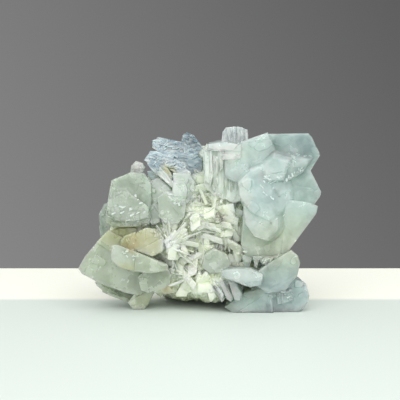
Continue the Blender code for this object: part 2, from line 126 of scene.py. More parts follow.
BLUE_BLADES = (
    # The long upper blade
    Crystal(((-12.6, 43.3), (-12.1, 45.2), (-10.8, 45.9), (-3.8, 44.5), (-0.5, 42.6), (0.3, 41),
             (-1.1, 40.1), (-10.8, 42)), -1.5, 8, (-0.05, 0.5), (1, -1.5), 0.85),
    # The dark blue crystal behind its right end
    Crystal(((-4.6, 44.5), (-4.1, 46.8), (-3, 47.1), (-1.1, 46.3), (1.2, 43.2), (1.3, 41.6), (-2, 41.6)),
            1.5, 6, (0.1, 0.3), (0, -1)),
    # The second blade
    Crystal(((-14.4, 40), (-12.8, 42.4), (-11, 42.3), (-6.5, 40.6), (-6.3, 37.8), (-9.5, 38.5),
             (-13.6, 39.3)), -4, 8, (0.05, 0.5), (1.5, -1.5), 0.85),
    Crystal(((-9, 41.5), (-5.3, 40), (-1.9, 36.6), (-1.9, 34.9), (-3.8, 35.1), (-7.8, 37.7), (-9.6, 39.5)),
            -4.4, 7, (0.05, 0.5), (1.5, -1.5), 0.85),
    # The bright tapering blade and the one beneath it
    Crystal(((-13.5, 39.2), (-12.4, 40.4), (-11.4, 39.8), (-8.3, 36.6), (-5.6, 33.2), (-6, 32.4),
             (-8.2, 34.2), (-12.2, 37.6)), -7.4, 8, (0.05, 0.4), (1.5, -1), 0.85),
    Crystal(((-13.5, 37.2), (-12.2, 37.4), (-8.7, 35), (-5.8, 31.9), (-6.9, 31.2), (-10.6, 33.3),
             (-13, 35.4)), -6, 7, (0.05, 0.1), (1, -1)),
    # The yellowish one between them
    Crystal(((-11, 38.4), (-8.4, 38.6), (-6.2, 35.2), (-8.6, 34.6)), -5.4, 4, (0, 0.2)),
    # What they stand on
    Crystal(((-11, 42), (-2, 42), (1.2, 40), (1.3, 35.5), (-2.2, 33), (-9, 34.5), (-12, 38)),
            -2.8, 7, (0, 0.15)),
)

LEFT_PLATES = (
    Crystal(((-24.4, 26.2), (-23.4, 31.5), (-22.8, 35), (-17.6, 37.1), (-14, 36.8), (-12.2, 34),
             (-12.2, 24), (-13.5, 22.6), (-22.4, 22.4), (-24.2, 23.6)), -8.2, 6, (0.02, 0.02), (0.5, 0)),
    Crystal(((-23.1, 31), (-22.3, 35.2), (-20.2, 36.1), (-17.6, 36.8), (-14.2, 36.3), (-12.6, 34.2),
             (-12.9, 30.2), (-15.2, 28), (-22, 28.5)), -8, 7, (0.1, 0.12), (1, -1)),
    Crystal(((-23.7, 29.5), (-22.2, 31.8), (-18.8, 32.3), (-14.9, 29.6), (-12.8, 27.9), (-13, 25.2),
             (-16.7, 24.2), (-21.6, 24.4), (-23.9, 26.3)), -9.2, 6, (-0.06, 0.08), (1, 0)),
    Crystal(((-24, 26.3), (-13.3, 26.3), (-13.4, 23.5), (-16.6, 22.6), (-21.6, 22.6), (-23.6, 23.4)),
            -8.5, 7, (0.03, -0.1), (1, 0)),
    Crystal(((-18.2, 35.6), (-17.8, 38.4), (-16.6, 39.7), (-14.7, 39.2), (-13.9, 38), (-14.6, 35.5)),
            -4, 5, (0, 0.1)),
)

MIDDLE_CRYSTALS = (
    Crystal(((-13, 23.5), (-13, 34), (-10, 35.4), (-4, 35), (-1.8, 31), (-3, 24.5), (-6, 23.2)),
            -6.6, 5, (0, 0.05)),
    Crystal(((-12.9, 34.6), (-10.5, 35.7), (-7.4, 33), (-6, 31.2), (-8.4, 28.6), (-12.1, 28), (-13, 30.7)),
            -7.5, 7, (-0.1, 0.1), (1, 0)),
    # The clear window face
    Crystal(((-10.7, 30.7), (-8.6, 32.3), (-4.7, 31.5), (-3.1, 29.4), (-3.4, 25.7), (-5.2, 23.5),
             (-8.6, 23.3), (-10.5, 25.7)), -10, 7, (0.05, 0.08), (0.5, 0)),
    Crystal(((-13, 28.5), (-10.5, 29.2), (-9.7, 23.9), (-12.1, 22.9), (-13, 24.4)), -8.5, 6, (-0.2, 0)),
    # The white petals above it
    Crystal(((-6.6, 37), (-2.2, 37), (-0.9, 34.5), (-1.2, 31.2), (-2.4, 28.8), (-4.4, 29.2), (-6.4, 31.8)),
            -8.6, 6, (0.15, 0.12)),
    Crystal(((-6.4, 36), (-3.6, 35.6), (-2.6, 32), (-3.4, 28.2), (-5.4, 28.4), (-6.8, 32)),
            -9.8, 5, (0.2, 0.12)),
)

LEFT_BACK_CRYSTAL = (
    Crystal(((-27.2, 18), (-27.6, 24), (-26.1, 27.2), (-23.5, 28.5), (-19, 26), (-19, 18)),
            5, 4.5, (-0.15, 0), (1, -0.5)),
)

YELLOW_CRYSTALS = (
    Crystal(((-17, 16.8), (-16.4, 21.2), (-13.8, 22.6), (-10.2, 22.2), (-8.8, 19.8), (-9.2, 16.4),
             (-12, 15)), -10.2, 8, (-0.05, 0.12), (0.5, 0)),
    Crystal(((-20.8, 17.6), (-19.6, 20.4), (-16.4, 21.6), (-15.4, 18), (-16.5, 15.4)),
            -10, 7, (0.2, 0.1), (0.5, 0)),
    Crystal(((-24.4, 21), (-20.7, 22.4), (-16.5, 22.2), (-15, 19.5), (-17, 16), (-23.1, 17)),
            -7, 7, (0.1, 0.05), (1, 0)),
)

LOWER_LEFT_PLATES = (
    # The large plate with the left tip
    Crystal(((-31.8, 11.6), (-30, 14.8), (-26.1, 19.5), (-23.7, 21.9), (-19, 19.3), (-8.6, 12.5),
             (-8.4, 11), (-12, 6.7), (-15.7, 4), (-19.1, 4.6), (-27.4, 8), (-31, 10.1)),
            -8, 4.5, (0.05, -0.02), (0.5, 0.3)),
    # The blade that lies across it
    Crystal(((-22.5, 18.4), (-20.9, 18.5), (-14.9, 16.2), (-7.7, 13.2), (-7.6, 11.8), (-12.4, 11),
             (-17, 11.6), (-20.6, 12.7), (-22.7, 14.7)), -13, 6, (0.02, 0.12), (0.5, -0.5)),
    Crystal(((-15.1, 5.8), (-15.9, 9.5), (-12.5, 12.1), (-8.3, 12.1), (-7, 10), (-7.3, 7.4), (-8.9, 6.2),
             (-13.2, 5)), -9.4, 5, (0.1, -0.12), (0, 1)),
)

LEFT_FOOT = (
    Crystal(((-18.8, 1.8), (-16.6, 5), (-14.5, 6.3), (-11.6, 7.7), (-11.4, 5), (-12.7, 2.6), (-14.4, -1),
             (-17.4, -1)), -6, 6, (0.1, -0.1), (0.5, 1), 0.95),
    # The shaded blade under the large plate
    Crystal(((-28.1, 6.9), (-24.3, 6.5), (-17.9, 5), (-14, 3), (-16.6, 0.7), (-21.4, 2.3), (-25.9, 4.4)),
            -3.2, 7, (0, 0.1), (2, 0.5), 0.9),
)

CENTRE_CRYSTALS = (
    Crystal(((1.1, 11.9), (1.6, 15.1), (4.2, 16.9), (7.6, 15.4), (8.9, 12.7), (7.3, 10.6), (3.2, 10.1)),
            -9, 6, (0.1, 0.1), (-0.5, 1)),
    Crystal(((-2.2, 9.7), (1.6, 11.2), (4.5, 10.8), (4.6, 6.2), (0.5, 4.8), (-2.7, 6.4)),
            -7.5, 6, (-0.1, -0.2), (0, 1)),
)

LOWER_RIGHT_PLATES = (
    # What fills the corner between the low plates
    Crystal(((14, -0.8), (14, 6), (19, 8.8), (25, 9.4), (27.6, 7.5), (28.2, 2), (26, -0.8)),
            -8.4, 7, (0, 0.06), (0, 0.5)),
    # The white wedge
    Crystal(((5.8, 11.8), (9.6, 12.2), (13.6, 12.2), (17, 10.6), (16.6, 7.8), (13.5, 7.3), (10.6, 8.4),
             (6.2, 10)), -13, 6, (0.05, 0.2), (1, 0)),
    # The blue plate beside it
    Crystal(((15.2, 7.1), (15.7, 11.1), (19.3, 13.7), (24.6, 16.6), (26.4, 15.1), (27, 13), (26.2, 9.5),
             (23, 5.5), (18.3, 5)), -10, 6, (0.03, 0.08), (0, 0.5)),
    # The low plates that it stands on
    Crystal(((17, 7), (21, 8.8), (26.7, 8.4), (28.7, 7.5), (29.7, 4.3), (29.2, 2.2), (27.6, 0.6),
             (26.5, -0.8), (16, -0.8)), -8.8, 9, (0.05, 0.1), (-1, 0.5), 0.92),
    Crystal(((7, 1.3), (9.2, 2.9), (12.3, 5.2), (16.8, 6.3), (19.6, 5.7), (20, -0.8), (9, -0.8)),
            -9.5, 9, (-0.03, 0.12), (0, 0.5), 0.92),
    # The short white prisms
    Crystal(((20.6, 5.5), (24.8, 6.3), (25.6, 3.2), (21, 2.1)), -9.5, 4, (0.1, 0)),
    Crystal(((7.8, 8.9), (9.6, 8.6), (11.6, 5.2), (11, 3.4), (9.5, 3.6)), -11, 5, (0, 0.2), (1, 0)),
    Crystal(((18.8, 5.3), (19.9, 5.4), (19, 1.8), (17.9, 1.8)), -10, 4),
    Crystal(((5.4, 8.3), (6.6, 8.6), (9.2, 4.2), (8.6, 3), (7.4, 4)), -11, 5, (0, 0.2), (1, 0)),
    Crystal(((3.8, 7.2), (4.8, 7.6), (6.9, 3.6), (6.2, 2.8)), -10.4, 5, (0, 0.2), (1, 0)),
    Crystal(((21.2, 5.6), (22.4, 5.8), (22.6, 2.6), (21.6, 2.4)), -10.2, 4, (0.1, 0.1)),
    Crystal(((23.2, 5.8), (24.2, 5.9), (25.2, 3.6), (24.2, 3)), -10, 4, (0.1, 0.1)),
)

BACK_UPPER_PLATES = (
    Crystal(((3, 29), (4.5, 37.5), (10, 41.5), (17, 40), (22.5, 35), (21, 27.5), (13, 24)),
            12, -7, (-0.25, 0.2), (0, 1)),
    Crystal(((13, 30), (17, 37), (24, 38.5), (27, 31), (23, 24.5), (15, 24)), 10, -7, (-0.35, 0.1), (0, 1)),
    Crystal(((-3, 33), (-1, 40), (4, 43), (10, 41), (9, 35), (3, 31)), 10, -6, (0.1, 0.3), (0, -1)),
    Crystal(((9, 17), (8, 24), (13, 29), (21, 28.5), (24.5, 21), (18, 15.5)), 13, -7, (-0.2, -0.1), (0, 1)),
    Crystal(((17, 19), (19, 25), (25.5, 26), (26, 20), (22, 16)), 9.5, -6, (-0.4, -0.1)),
)

BACK_LEFT_PLATES = (
    Crystal(((-21, 24), (-19, 31), (-13, 35), (-6.5, 32.5), (-6, 25), (-12, 20.5)),
            12, -7, (0.2, 0.15), (1, 0)),
    Crystal(((-13, 30), (-11.5, 36.5), (-6, 40), (-2, 36), (-4, 30.5), (-9, 28.5)),
            10.5, -6, (0.05, 0.35), (0, -1)),
    Crystal(((-24, 13), (-23, 19.5), (-17.5, 24), (-10.5, 20), (-12, 12.5), (-18, 9)),
            11, -7, (0.25, -0.05), (1, 0)),
    Crystal(((-23, 17), (-23.5, 23), (-20, 28), (-16, 23), (-18, 16)), 8.5, -5, (0.4, 0.05), (1, 0)),
)

BACK_FOOT = (
    Crystal(((-10, -1), (-11, 6), (-6, 12), (3, 13.5), (8, 8), (7, -1)), 13.6, -8, (0, -0.08), (0, 2)),
    Crystal(((3, -1), (4, 7), (11, 11.5), (18.5, 8), (17, -1)), 12, -7, (-0.2, 0), (0, 1)),
    Crystal(((-4, 9), (-2, 16), (4, 18), (8, 12), (3, 8)), 12.5, -6, (0.05, 0.3)),
)

CLUSTERS = {
    "top_crystal": TOP_CRYSTAL,
    "right_plates": RIGHT_PLATES,
    "upper_columns": UPPER_COLUMNS,
    "blue_blades": BLUE_BLADES,
    "left_plates": LEFT_PLATES,
    "middle_crystals": MIDDLE_CRYSTALS,
    "left_back_crystal": LEFT_BACK_CRYSTAL,
    "yellow_crystals": YELLOW_CRYSTALS,
    "lower_left_plates": LOWER_LEFT_PLATES,
    "left_foot": LEFT_FOOT,
    "centre_crystals": CENTRE_CRYSTALS,
    "lower_right_plates": LOWER_RIGHT_PLATES,
    "back_upper_plates": BACK_UPPER_PLATES,
    "back_left_plates": BACK_LEFT_PLATES,
    "back_foot": BACK_FOOT,
}

MATRIX_LUMPS = (
    Lump((-1, 3, 23), (17, 10, 16)),
    Lump((-2, 2, 9.2), (15, 9.5, 7.6)),
    Lump((6, 3, 37), (9, 6, 7)),
    Lump((-15, 2, 19), (9, 8, 13)),
    Lump((13, 3, 12), (10, 8, 9)),
    Lump((3.5, -4, 6.6), (7, 5, 4.6)),
    Lump((-6.6, -5, 19), (4.4, 4.5, 5.5)),
    Lump((0, -3, 25), (6, 5, 6)),
)


class Skin(NamedTuple):
    """How the surface of a cluster is broken up."""

    terraces: int  # raised steps on each broad face
    rise: float  # the tallest step
    layer: float  # usual thickness of the layers that a crystal is built of
    ragged: float  # how far a layer's outline strays inwards
    chips: int  # places where a crystal's rim is broken
    slot: str
    young: int = 10  # small parallel crystals on each crystal
    ribs: float = 0.0  # usual width of the ribs along a striated crystal, or 0


class Tint(NamedTuple):
    """A soft zone of colour; some of them are painted shade, as noted in TINTS."""

    at: tuple
    radii: tuple
    colour: tuple
    share: float = 1.0


class Streak(NamedTuple):
    """A feathery line of small white flakes on the front of a cluster."""

    path: tuple  # corners (x, z)
    width: float
    count: int  # flakes for each mm


SKINS = {
    "top_crystal": Skin(0, 0.3, 1, 0.25, 0, "white_barite", 0, 0.4),
    "right_plates": Skin(2, 0.35, 1.1, 0.25, 2, "clear_barite", 7),
    "upper_columns": Skin(0, 0.3, 0.7, 0.3, 0, "white_barite", 3, 1.3),
    "blue_blades": Skin(0, 0.35, 0.8, 0.3, 1, "blue_barite", 14, 0.6),
    "left_plates": Skin(4, 0.7, 0.8, 0.45, 3, "green_barite", 15),
    "middle_crystals": Skin(2, 0.5, 0.8, 0.35, 2, "green_barite", 5),
    "left_back_crystal": Skin(2, 0.4, 1.2, 0.3, 4, "clear_barite"),
    "yellow_crystals": Skin(5, 0.9, 0.9, 0.4, 4, "yellow_barite", 12),
    "lower_left_plates": Skin(1, 0.3, 1, 0.35, 2, "green_barite", 4),
    "left_foot": Skin(2, 0.4, 1, 0.3, 4, "green_barite"),
    "centre_crystals": Skin(4, 0.7, 0.9, 0.35, 4, "green_barite", 14),
    "lower_right_plates": Skin(3, 0.5, 1, 0.3, 1, "clear_barite", 8),
    "back_upper_plates": Skin(4, 0.8, 1.1, 0.4, 4, "clear_barite"),
    "back_left_plates": Skin(4, 0.8, 1.1, 0.4, 4, "green_barite"),
    "back_foot": Skin(3, 0.7, 1.1, 0.4, 4, "green_barite"),
}

# Linear colours
AQUA = (0.57, 0.71, 0.66)
BLUE = (0.34, 0.46, 0.52)
GREEN = (0.63, 0.7, 0.52)
WHITE = (0.84, 0.9, 0.86)
YELLOW = (0.62, 0.6, 0.3)
PEACH = (0.62, 0.5, 0.28)

GROUND = {
    "top_crystal": (0.4, 0.5, 0.5),
    "right_plates": AQUA,
    "upper_columns": (0.6, 0.7, 0.58),
    "blue_blades": (0.22, 0.35, 0.42),
    "left_plates": (0.46, 0.53, 0.44),
    "middle_crystals": (0.6, 0.69, 0.57),
    "left_back_crystal": (0.34, 0.4, 0.33),
    "yellow_crystals": (0.64, 0.66, 0.48),
    "lower_left_plates": (0.52, 0.58, 0.46),
    "left_foot": (0.78, 0.86, 0.66),
    "centre_crystals": (0.6, 0.68, 0.58),
    "lower_right_plates": (0.49, 0.61, 0.6),
    "back_upper_plates": (0.6, 0.72, 0.68),
    "back_left_plates": (0.56, 0.65, 0.58),
    "back_foot": (0.54, 0.6, 0.48),
    "matrix": (0.84, 0.91, 0.69),
    "flakes": (0.72, 0.8, 0.76),
}

TINTS = (
    Tint((22, -6, 18), (14, 12, 7), GREEN, 0.8),
    # Painted darkening on the upper right plate, standing in for the grey room seen through its clear top
    Tint((27, -6, 44), (7, 8, 6), (0.34, 0.44, 0.44), 0.8),
    Tint((17, -8, 32), (7, 8, 8), (0.64, 0.78, 0.78), 0.6),
    Tint((11.5, -10, 30), (2.2, 5, 6), (0.76, 0.85, 0.76), 0.8),
    Tint((18, -10, 37), (2.6, 4, 2.4), WHITE, 0.35),
    Tint((26.5, -9, 39.5), (4.5, 4, 1.4), WHITE, 0.3),
    Tint((-8, -3, 44), (12, 10, 7), BLUE, 0.6),
    Tint((-2.4, 2, 45.5), (5, 6, 3.4), (0.05, 0.13, 0.18)),
    Tint((-8.6, -5, 36.8), (2.2, 2.4, 2), (0.66, 0.68, 0.34)),
    Tint((-16, -9, 19.5), (4.5, 5, 3), YELLOW, 0.5),
    Tint((-17.5, -10, 18.5), (1.8, 4, 1.6), PEACH, 0.8),
    Tint((-20, -12, 12.6), (2.6, 4, 1.4), YELLOW, 0.7),
    Tint((-8, -7, 5.2), (2, 5, 1.6), PEACH, 0.9),
    Tint((13.5, -4, 4.6), (3.5, 6, 1.8), YELLOW, 0.8),
    # Olive of the yellow crystals, darkened as painted shade in the recess beneath the left chunk
    Tint((-22, -6, 20.5), (4.5, 6, 3.5), (0.42, 0.44, 0.2), 0.9),
    Tint((8, -8, 42.2), (5, 4, 2.6), (0.86, 0.97, 0.86)),
    Tint((-3.5, -9, 33), (3.5, 4, 4), (0.74, 0.85, 0.75), 0.9),
    Tint((-21, -13, 15.5), (3, 3, 3), (0.68, 0.76, 0.66), 0.8),
    # Painted shade on the blade under the large plate, close to the floor
    Tint((-22, -1, 3.5), (7, 3.5, 3.5), (0.22, 0.26, 0.17), 0.95),
    # Painted shadow over the bottom of the specimen, where it meets its shadow on the floor
    Tint((-1, -2, 1.2), (15, 12, 3.4), (0.26, 0.28, 0.12), 0.95),
    Tint((2.5, -6, 33), (3.5, 4, 4), (0.52, 0.62, 0.46), 0.6),
    # Painted shade in the pockets of the matrix, and a whiter knot in it
    Tint((5.8, -7, 24.8), (2.2, 4, 1.6), (0.36, 0.34, 0.26), 0.9),
    Tint((2.2, -7, 29.6), (2.4, 4, 1.5), (0.46, 0.52, 0.3), 0.8),
    Tint((-2, -7, 16.8), (2, 4, 1.3), (0.46, 0.5, 0.32), 0.8),
    Tint((7.5, -7, 17), (2.4, 4, 1.2), (0.46, 0.5, 0.34), 0.7),
    Tint((-7.5, -9, 18.5), (2.4, 4, 2), (0.88, 0.94, 0.84), 0.8),
    # Brighter and duller places on the crystals
    Tint((11, -13, 10.2), (5.5, 4, 2), (0.64, 0.72, 0.68), 0.9),
    Tint((7.6, -10, 5.8), (3, 3, 3), (0.88, 0.98, 0.88), 0.9),
    Tint((13, -9, 2.2), (5, 4, 3), (0.58, 0.76, 0.7), 0.8),
    Tint((-12, -7, 30), (2.5, 4, 6), (0.58, 0.72, 0.58), 0.7),
    Tint((-8, -8, 34.6), (2.8, 3, 2.6), (0.82, 0.9, 0.84), 0.8),
    Tint((-16, -4, 38), (2.5, 4, 2.6), (0.64, 0.65, 0.6), 0.9),
    Tint((-3, -5, 36), (2.2, 4, 1.6), (0.76, 0.84, 0.84), 0.7),
)

STREAKS = {
    "right_plates": (
        # The feathery star
        Streak(((16.4, 38.3), (17.6, 36.2), (18.4, 34.8)), 0.7, 9),
        Streak(((18.4, 34.8), (21.5, 34), (23.2, 35.6), (25.4, 36.8), (28, 38.2)), 0.5, 6),
        Streak(((24, 42.2), (25.2, 40.6), (25.6, 38.8)), 0.5, 7),
        Streak(((25.4, 41.2), (28, 41.4), (30.2, 40.4)), 0.5, 6),
        Streak(((18.4, 34.8), (20.6, 32.2), (19.4, 30)), 0.6, 3),
        Streak(((17.6, 36.2), (16.8, 33.5), (17.6, 31)), 0.6, 3),
        Streak(((22.5, 25.3), (21.3, 24.6)), 0.8, 6),
        Streak(((16.3, 23.8), (16.9, 23.3)), 0.5, 8),
        # The ragged lower edge
        Streak(((15.5, 14.4), (18.5, 13.8), (20.8, 14.4)), 0.5, 8),
        Streak(((10.8, 17.6), (12.6, 15.8)), 0.5, 7),
    ),
    "left_plates": (
        Streak(((-20.8, 28.8), (-18.4, 27.2), (-17.4, 26.6)), 0.8, 5),
        Streak(((-16.6, 31.2), (-14.6, 29.2)), 0.7, 6),
        Streak(((-23, 27), (-19, 25.6), (-14, 26.6)), 1, 2),
        Streak(((-20, 25), (-17, 24), (-13.5, 24.2)), 0.6, 2),
    ),
    "yellow_crystals": (Streak(((-19.8, 18.2), (-18.6, 19.6)), 0.6, 10),),
    "lower_left_plates": (
        Streak(((-19.5, 17), (-17.5, 15.8), (-16.4, 15.4)), 0.8, 9),
        Streak(((-20.5, 8.6), (-18.4, 8.2)), 0.5, 6),
    ),
    "blue_blades": (
        # Their frost
        Streak(((-11.6, 44.6), (-4, 43), (-1, 41.4)), 1.3, 9),
        Streak(((-11.6, 40.6), (-7, 39.2), (-3, 36)), 1.2, 9),
    ),
    "lower_right_plates": (Streak(((22.5, 5.4), (24.8, 3.2)), 0.5, 4),),
    "middle_crystals": (Streak(((-8, 31.5), (-6, 29.5), (-4, 29)), 0.6, 7),),
}

UPRIGHT = [crystal.outline for crystal in TOP_CRYSTAL + UPPER_COLUMNS]  # striated along Z

HALF_WIDTH, HALF_DEPTH, HEIGHT = 32.2, 14.33, 48.9  # the box that the solids fill
BEVEL = 0.3  # on the edges of a crystal's core
FLAT = 0.02  # a body thinner than this is left out
ROCK_VOXEL = 0.45  # how finely the matrix is meshed
IN_FRONT = -40  # a y before the whole specimen
BESIDE = -5  # y of a blade's end that lies beside the matrix
SPRAY_SEED = 23


def lattice(cells, seed):
    """A repeatable random number from 0 to 1 for each whole-numbered cell."""
    mixed = (cells[..., 0] * 73856093) ^ (cells[..., 1] * 19349663) ^ (cells[..., 2] * 83492791)
    mixed = (mixed ^ (seed * 97531)) & 0xFFFFFFFF
    mixed = ((mixed ^ (mixed >> 13)) * 1274126177) & 0xFFFFFFFF
    mixed = ((mixed ^ (mixed >> 16)) * 2246822519) & 0xFFFFFFFF
    return ((mixed ^ (mixed >> 15)) & 0xFFFFFF) / 0xFFFFFF


def soft_noise(points, size, seed):
    """Smooth noise from -1 to 1 whose swellings are about as large as size."""
    at = points / size
    low = np.floor(at).astype(np.int64)
    share = at - low
    share = share * share * (3 - 2 * share)
    total = np.zeros(len(points))
    for corner in itertools.product((0, 1), repeat=3):
        weight = np.prod(np.where(np.array(corner) == 1, share, 1 - share), axis=1)
        total += weight * lattice(low + np.array(corner), seed)
    return 2 * total - 1


def facets(points, size, seed):
    """The height, from about -1 to 1, of small flat faces that are tilted at random."""
    at = points / size
    low = np.floor(at).astype(np.int64)
    nearest = np.full(len(points), np.inf)
    height = np.zeros(len(points))
    for step in itertools.product((-1, 0, 1), repeat=3):
        cell = low + np.array(step)
        spot = cell + np.stack([lattice(cell, seed + k) for k in range(3)], axis=1)
        away = at - spot
        distance = np.sum(away**2, axis=1)
        tilt = np.stack([lattice(cell, seed + k) for k in range(3, 6)], axis=1) - 0.5
        closer = distance < nearest
        nearest = np.where(closer, distance, nearest)
        height = np.where(closer, 3 * np.sum(away * tilt, axis=1) + lattice(cell, seed + 6) - 0.5, height)
    return height


def centre_of(corners):
    return sum(corners, Vector((0, 0))) / len(corners)


def clipped(corners, at, way):
    """The part of a convex outline that lies behind a line."""
    kept = []
    for here, there in zip(corners, corners[1:] + corners[:1]):
        h, t = (here - at).dot(way), (there - at).dot(way)
        if h <= 0:
            kept.append(here)
        if h * t < 0:
            kept.append(here.lerp(there, h / (h - t)))
    return kept


def drawn_in(corners, insets):
    """The outline with each corner moved towards the middle."""
    middle = centre_of(corners)
    made = []
    for corner, inset in zip(corners, insets):
        arm = corner - middle
        made.append(middle + arm * max(0.05, 1 - inset / max(arm.length, 0.01)))
    return made


def slab_points(crystal, rings):
    """Points of a slab of the crystal, from rings of (corners, share of its depth)."""
    middle = centre_of(crystal.corners())
    lean, drift = Vector(crystal.lean), Vector(crystal.drift)
    points = []
    for corners, share in rings:
        size = 1 + (crystal.taper - 1) * share
        for corner in corners:
            arm = corner - middle
            x, z = middle + drift * share + arm * size
            points.append((x, crystal.front + lean.dot(arm) + crystal.depth * share, z))
    return points


def crystal_parts(crystal, skin, chance):
    """A crystal as a core, a stack of ragged layers and some raised steps on its broad face."""
    corners = crystal.corners()
    thickness = abs(crystal.depth)
    base = skin.rise / thickness
    all_in = [skin.ragged * 1.2] * len(corners)
    core = drawn_in(corners, all_in)
    bevelled = drawn_in(core, [BEVEL] * len(core))
    yield slab_points(crystal, [(bevelled, base), (core, base + BEVEL / thickness), (core, 1.0)])
    at = skin.rise
    while at < thickness:
        end = min(at + skin.layer * chance.uniform(0.5, 1.6), thickness)
        common = chance.uniform(0, 0.5) * skin.ragged
        ring = drawn_in(corners, [common + chance.uniform(0, 0.5) * skin.ragged for _ in corners])
        yield slab_points(crystal, [(ring, at / thickness), (ring, end / thickness)])
        at = end
    for _ in range(skin.terraces):
        side = chance.randrange(len(corners))
        along = (corners[side] - corners[side - 1]).normalized()
        way = Vector((along.y, -along.x))
        if (centre_of(corners) - corners[side]).dot(way) > 0:
            way = -way
        span = max((corners[side] - corner).dot(way) for corner in corners)
        cut = corners[side] - way * span * chance.uniform(0.15, 0.8)
        step = clipped(corners, cut, way if chance.random() < 0.7 else -way)
        if len(step) < 3:
            continue
        top = chance.uniform(-0.15, 0.8) * skin.rise
        under = drawn_in(step, [0.05] * len(step))
        over = drawn_in(step, [chance.uniform(0.2, 0.6) for _ in step])
        rings = [(over, top), (under, top + 0.35), (under, skin.rise + 0.8)]
        yield slab_points(crystal, [(ring, at / thickness) for ring, at in rings])


def long_axis(corners):
    return max((a - b for a in corners for b in corners), key=lambda arm: arm.length).normalized()


def ribbed_parts(crystal, skin, chance):
    """A striated crystal: ribs side by side, each a little higher or lower and longer or shorter."""
    corners = crystal.corners()
    along = Vector((0, 1)) if crystal.outline in UPRIGHT else long_axis(corners)
    across = Vector((along.y, -along.x))
    low = min(corner.dot(across) for corner in corners)
    high = max(corner.dot(across) for corner in corners)
    thickness = abs(crystal.depth)
    at = low
    while at < high - 0.05:
        end = min(at + skin.ribs * chance.uniform(0.5, 1.7), high)
        strip = clipped(clipped(corners, across * at, -across), across * end, across)
        at = end
        if len(strip) < 3:
            continue
        middle = centre_of(strip)
        length = 1 - chance.uniform(0.0, 0.07)
        strip = [corner - along * (corner - middle).dot(along) * (1 - length) for corner in strip]
        top = chance.uniform(0.0, 0.3) / thickness
        over = drawn_in(strip, [0.08] * len(strip))
        yield slab_points(crystal, [(over, top), (strip, top + 0.15 / thickness), (strip, 1.0)])
    core = drawn_in(corners, [0.35] * len(corners))
    yield slab_points(crystal, [(core, 0.5 / thickness), (core, 1.0)])


def young_crystals(crystal, skin, chance):
    """Small crystals that grew parallel to a larger one, near the edges of its broad face."""
    corners = crystal.corners()
    middle = centre_of(corners)
    thickness = abs(crystal.depth)
    for _ in range(skin.young):
        side = chance.randrange(len(corners))
        spot = corners[side - 1].lerp(corners[side], chance.random())
        spot = middle + (spot - middle) * chance.uniform(0.55, 0.97)
        size = chance.uniform(0.12, 0.34)
        turn = Matrix.Rotation(chance.gauss(0, 0.4), 2)
        small = [spot + turn @ (corner - middle) * size * chance.uniform(0.8, 1.1) for corner in corners]
        for start, end in zip(corners, corners[1:] + corners[:1]):
            way = Vector(((end - start).y, (start - end).x)).normalized()
            if (middle - start).dot(way) > 0:
                way = -way
            if len(small) >= 3:
                small = clipped(small, start, way)
        if len(small) < 3:
            continue
        top = chance.uniform(-0.5, 1.0) * skin.rise
        over = drawn_in(small, [chance.uniform(0.1, 0.4) for _ in small])
        rings = [(over, top), (small, top + 0.3), (small, skin.rise + 1)]
        yield slab_points(crystal, [(ring, at / thickness) for ring, at in rings])


def hull_mesh(points):
    """The convex hull of some points, as a closed mesh."""
    form = bmesh.new()
    for point in points:
        form.verts.new(point)
    hull = bmesh.ops.convex_hull(form, input=form.verts)
    bmesh.ops.delete(form, geom=hull["geom_interior"], context="VERTS")
    bmesh.ops.recalc_face_normals(form, faces=form.faces)
    mesh = bpy.data.meshes.new("hull")
    form.to_mesh(mesh)
    form.free()
    return mesh


def held_in(point):
    """A point kept inside the box of the solids."""
    x = min(max(point[0], MIDDLE[0] - HALF_WIDTH), MIDDLE[0] + HALF_WIDTH)
    y = min(max(point[1], MIDDLE[1] - HALF_DEPTH), MIDDLE[1] + HALF_DEPTH)
    return (x, y, min(max(point[2], 0.0), HEIGHT))


def bodies(point_sets):
    """The hulls of sets of points, without those that the box has pressed flat."""
    held = [[held_in(point) for point in points] for points in point_sets]
    return [hull_mesh(points) for points in held if np.ptp(points, axis=0).min() > FLAT]


def placed(name, data):
    """A new object in the scene."""
    obj = bpy.data.objects.new(name, data)
    bpy.context.scene.collection.objects.link(obj)
    return obj


def modified(mesh, kind, **settings):
    """A new mesh, which is the mesh given after one modifier."""
    obj = placed("body", mesh)
    modifier = obj.modifiers.new("step", kind)
    for name, value in settings.items():
        setattr(modifier, name, value)
    graph = bpy.context.evaluated_depsgraph_get()
    made = bpy.data.meshes.new_from_object(obj.evaluated_get(graph))
    bpy.data.objects.remove(obj)
    return made


def combined(mesh, other, operation="UNION"):
    """The Boolean of two closed meshes, as a new mesh."""
    second = placed("second", other)
    made = modified(mesh, "BOOLEAN", operation=operation, solver="MANIFOLD", object=second)
    bpy.data.objects.remove(second)
    return made


def united(meshes):
    """The union of closed meshes, joined two by two."""
    while len(meshes) > 1:
        pairs = [combined(a, b) for a, b in zip(meshes[::2], meshes[1::2])]
        meshes = pairs + meshes[len(pairs) * 2:]
    return meshes[0]


def chip_points(at, size, chance):
    """A small angular body, which breaks a chip out of an edge."""
    return [at + random_direction(chance) * size * chance.uniform(0.7, 1.2) for _ in range(9)]


def chips(crystal, skin, chance):
    """Bodies that break the rim of a crystal's broad face."""
    corners = crystal.corners()
    for _ in range(skin.chips):
        side = chance.randrange(len(corners))
        spot = corners[side - 1].lerp(corners[side], chance.random())
        spot += (spot - centre_of(corners)).normalized() * 0.2
        share = chance.uniform(0, 0.5)
        place = Vector(slab_points(crystal, [([spot], share)])[0])
        yield chip_points(place, chance.uniform(0.3, 0.8), chance)


def random_direction(chance):
    return Vector([chance.gauss(0, 1) for _ in range(3)]).normalized()


def in_metres(mesh):
    points = coordinates(mesh)
    mesh.vertices.foreach_set("co", ((points - np.array(MIDDLE)) * MM).ravel())
    mesh.update()


